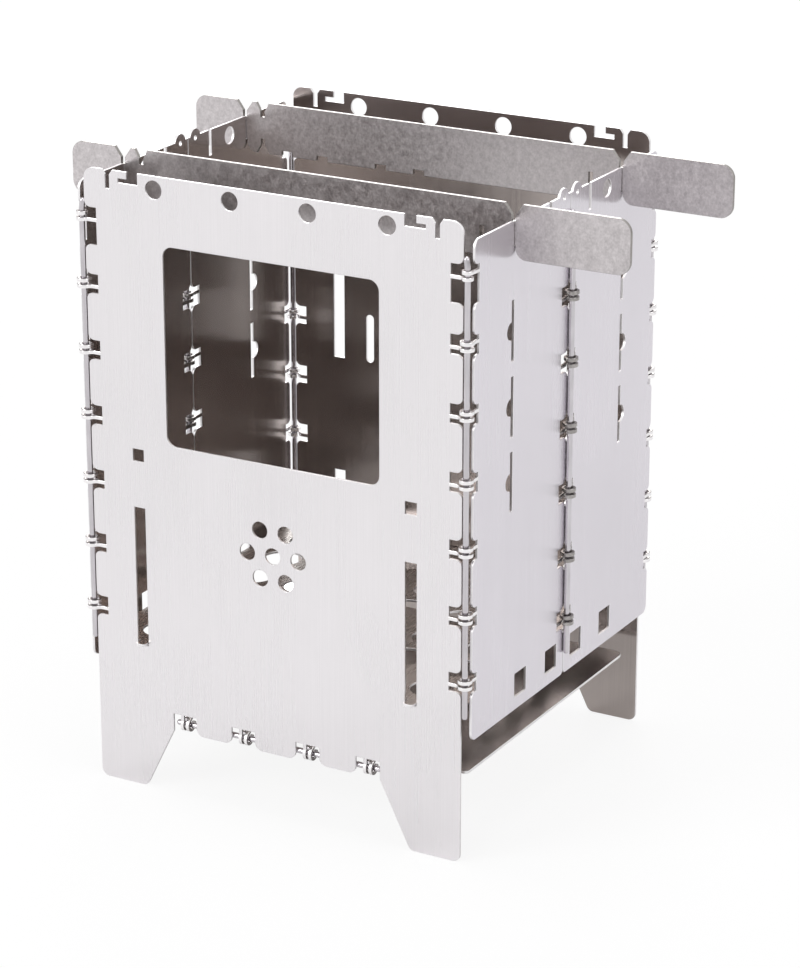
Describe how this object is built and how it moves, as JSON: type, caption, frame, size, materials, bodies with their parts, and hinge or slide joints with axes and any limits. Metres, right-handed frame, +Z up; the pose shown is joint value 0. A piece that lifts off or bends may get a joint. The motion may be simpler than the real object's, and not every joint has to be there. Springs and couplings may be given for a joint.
{
  "type": "twig stove",
  "caption": "Upright box stove of pin-hinged steel panels with a feed window, draught slots, a tilting grate, a drop-down ash plate and notched pot supports that lift off.",
  "frame": {"origin": "middle of the bottom of the whole outline, on the ground under the feet", "axes": "+Z up, +Y from the front panel to the back panel, +X to the right seen from the front, where the pot supports' long tabs are"},
  "size_m": [0.23, 0.152, 0.24],
  "materials": {
    "panel_steel": "fine upright brushing, satin",
    "wall_steel": "fine brushing, satin",
    "pin_steel": "drawn wire, shiny",
    "ash_plate_steel": "smooth rolled sheet, near mirror",
    "grate_steel": "satin",
    "support_steel": "tumbled, matte and mottled"
  },
  "bodies": {
    "box": {"front_panel": "panel_steel", "back_panel": "panel_steel", "right_front_wall": "wall_steel", "right_rear_wall": "wall_steel", "left_front_wall": "wall_steel", "left_rear_wall": "wall_steel", "front_right_pin": "pin_steel", "front_left_pin": "pin_steel", "rear_right_pin": "pin_steel", "rear_left_pin": "pin_steel", "right_middle_pin": "pin_steel", "left_middle_pin": "pin_steel", "ash_plate_pin": "pin_steel"},
    "fire_grate": {"grate": "grate_steel"},
    "ash_tray": {"ash_plate": "ash_plate_steel"},
    "front_support": {"front_pot_support": "support_steel"},
    "rear_support": {"rear_pot_support": "support_steel"}
  },
  "joints": [
    {"name": "front_support_lift", "type": "slide", "parent": "box", "child": "front_support", "axis": [0, 0, 1], "range_m": [0, 0.03]},
    {"name": "rear_support_lift", "type": "slide", "parent": "box", "child": "rear_support", "axis": [0, 0, 1], "range_m": [0, 0.03]},
    {"name": "grate_tilt", "type": "hinge", "parent": "box", "child": "fire_grate", "pos_m": [-0.0112, 0.076, 0.058], "axis": [-1, 0, 0], "range_deg": [0, 14]},
    {"name": "ash_plate_drop", "type": "hinge", "parent": "box", "child": "ash_tray", "pos_m": [-0.0112, -0.0713, 0.0285], "axis": [-1, 0, 0], "range_deg": [0, 90]}
  ]
}
